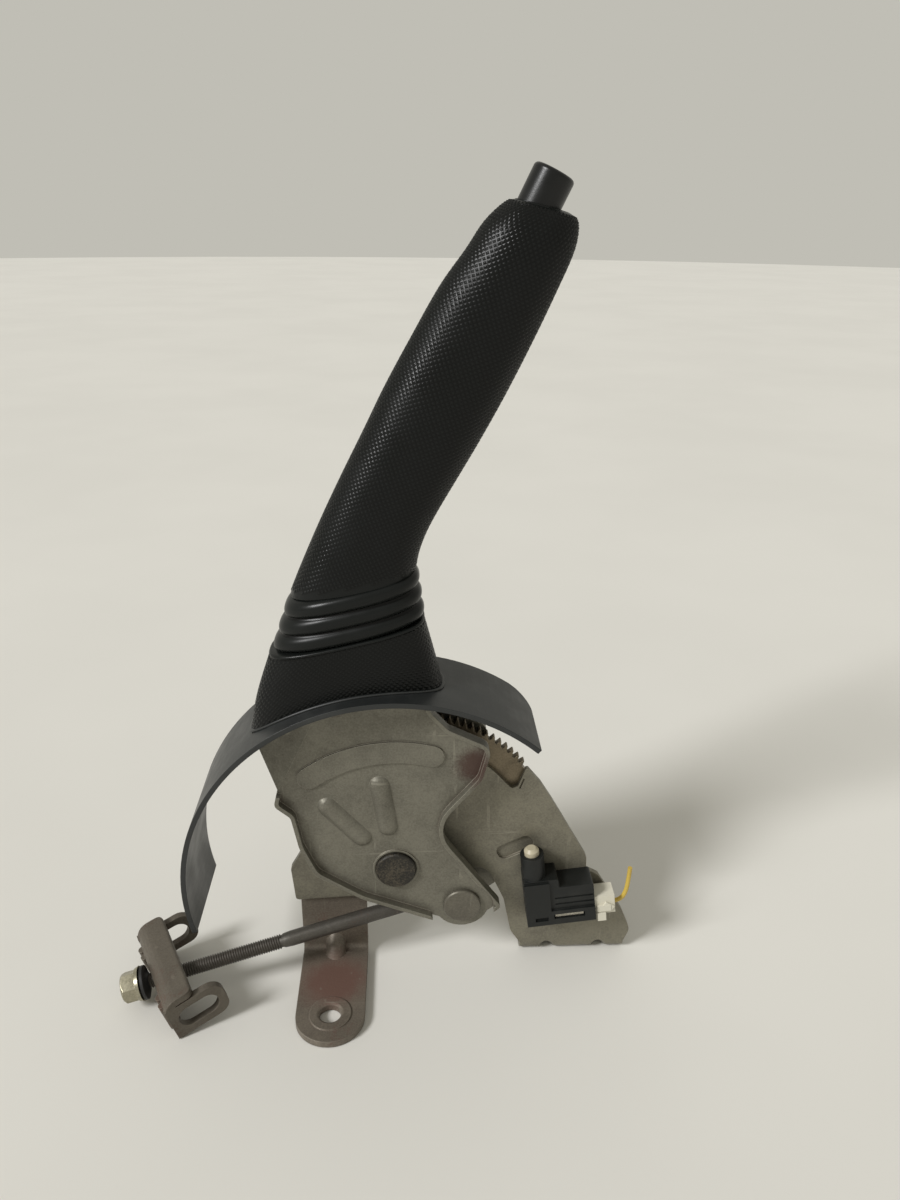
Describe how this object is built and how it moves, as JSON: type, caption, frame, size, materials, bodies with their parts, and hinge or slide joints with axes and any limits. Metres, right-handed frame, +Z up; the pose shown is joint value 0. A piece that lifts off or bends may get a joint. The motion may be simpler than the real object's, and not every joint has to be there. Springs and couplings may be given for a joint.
{
  "type": "parking brake lever",
  "caption": "Floor-mounted parking brake lever with pressed steel shells, toothed sector and pawl, push-button grip, slot cover, warning switch, adjusting rod and cable equalizer.",
  "frame": {"origin": "centre of the rear foot's bolt hole, on the floor face", "axes": "+X towards the front of the car, +Y across the car away from the pictured side, +Z up; the lever swings about an axis along Y"},
  "size_m": [0.2149, 0.0846, 0.3177],
  "materials": {
    "bracket_steel": "dull zinc with handling marks",
    "foot_steel": "brown surface rust",
    "sector_steel": "oily steel",
    "rivet_steel": "grey steel",
    "dark_pin": "blackened, oily",
    "bush_brass": "plain",
    "switch_plastic": "black, moulded",
    "contact_metal": "bright",
    "spring_steel": "bright wire",
    "plunger_plastic": "cream",
    "plug_plastic": "white, moulded",
    "wire_insulation": "yellow insulation",
    "lever_steel": "dull zinc, scratched, with rust in the creases",
    "grip_plastic": "black, knurled, with smooth rings",
    "cover_plastic": "black, satin",
    "pawl_steel": "hardened, dark",
    "guide_plastic": "natural",
    "button_plastic": "black, smooth",
    "rod_steel": "oil blackened",
    "yoke_steel": "brown surface rust",
    "washer_plastic": "black",
    "nut_zinc": "yellow zinc"
  },
  "bodies": {
    "base": {"bracket_plate": "bracket_steel", "rear_foot": "foot_steel", "ratchet_sector": "sector_steel", "sector_rivets": "rivet_steel", "pivot_pin": "dark_pin", "pivot_bush_near": "bush_brass", "pivot_bush_far": "bush_brass", "switch_body": "switch_plastic", "switch_contact": "contact_metal", "plunger_spring": "spring_steel", "connector_housing": "plug_plastic", "lead_wire": "wire_insulation"},
    "plunger": {"switch_plunger": "plunger_plastic"},
    "lever": {"lever_near_shell": "lever_steel", "lever_far_shell": "lever_steel", "grip": "grip_plastic", "slot_cover": "cover_plastic", "rod_pin": "rivet_steel", "pawl_pin": "rivet_steel", "rod_guide": "guide_plastic", "button_spring": "spring_steel"},
    "pawl": {"pawl": "pawl_steel"},
    "button": {"release_button": "button_plastic", "release_rod": "contact_metal"},
    "rod": {"adjusting_rod": "rod_steel"},
    "adjuster": {"seat_washer": "washer_plastic"},
    "equalizer": {"equalizer": "yoke_steel"},
    "nut": {"adjusting_nut": "nut_zinc"}
  },
  "joints": [
    {"name": "lever_pivot", "type": "hinge", "parent": "base", "child": "lever", "pos_m": [0.027, 0.035, 0.053], "axis": [0, 1, 0], "range_deg": [-5.6, 42]},
    {"name": "button_slide", "type": "slide", "parent": "lever", "child": "button", "axis": [-0.4384, 0, -0.8988], "range_m": [-0.0011, 0.003], "stiffness_N_per_m": 800, "deforming": ["button_spring"]},
    {"name": "pawl_pivot", "type": "hinge", "parent": "lever", "child": "pawl", "pos_m": [0.005, 0.035, 0.129], "axis": [0, -1, 0], "range_deg": [-4.6, 12.4]},
    {"name": "plunger_slide", "type": "slide", "parent": "base", "child": "plunger", "axis": [0.1219, 0, -0.9925], "range_m": [0, 0.0025], "stiffness_N_per_m": 400, "deforming": ["plunger_spring"]},
    {"name": "rod_pivot", "type": "hinge", "parent": "lever", "child": "rod", "pos_m": [0.05444, 0.0374, 0.03379], "axis": [0, 1, 0], "range_deg": [-32, 4.3]},
    {"name": "adjuster_slide", "type": "slide", "parent": "rod", "child": "adjuster", "axis": [0.9664, 0.1896, 0.1736], "range_m": [0, 0.01]},
    {"name": "nut_turn", "type": "hinge", "parent": "adjuster", "child": "nut", "pos_m": [-0.07119, 0.01275, 0.01121], "axis": [0.9664, 0.1896, 0.1736], "range_deg": [-60, 3700]},
    {"name": "equalizer_rock", "type": "hinge", "parent": "adjuster", "child": "equalizer", "pos_m": [-0.07119, 0.01275, 0.01121], "axis": [0, 0, 1], "range_deg": [-33, 2.5]}
  ],
  "couplings": [
    {"joint": "pawl_pivot", "follows": "button_slide", "rad_per_m": 71.43},
    {"joint": "rod_pivot", "follows": "lever_pivot", "ratio": -0.76},
    {"joint": "nut_turn", "follows": "adjuster_slide", "rad_per_m": 6283.2}
  ]
}
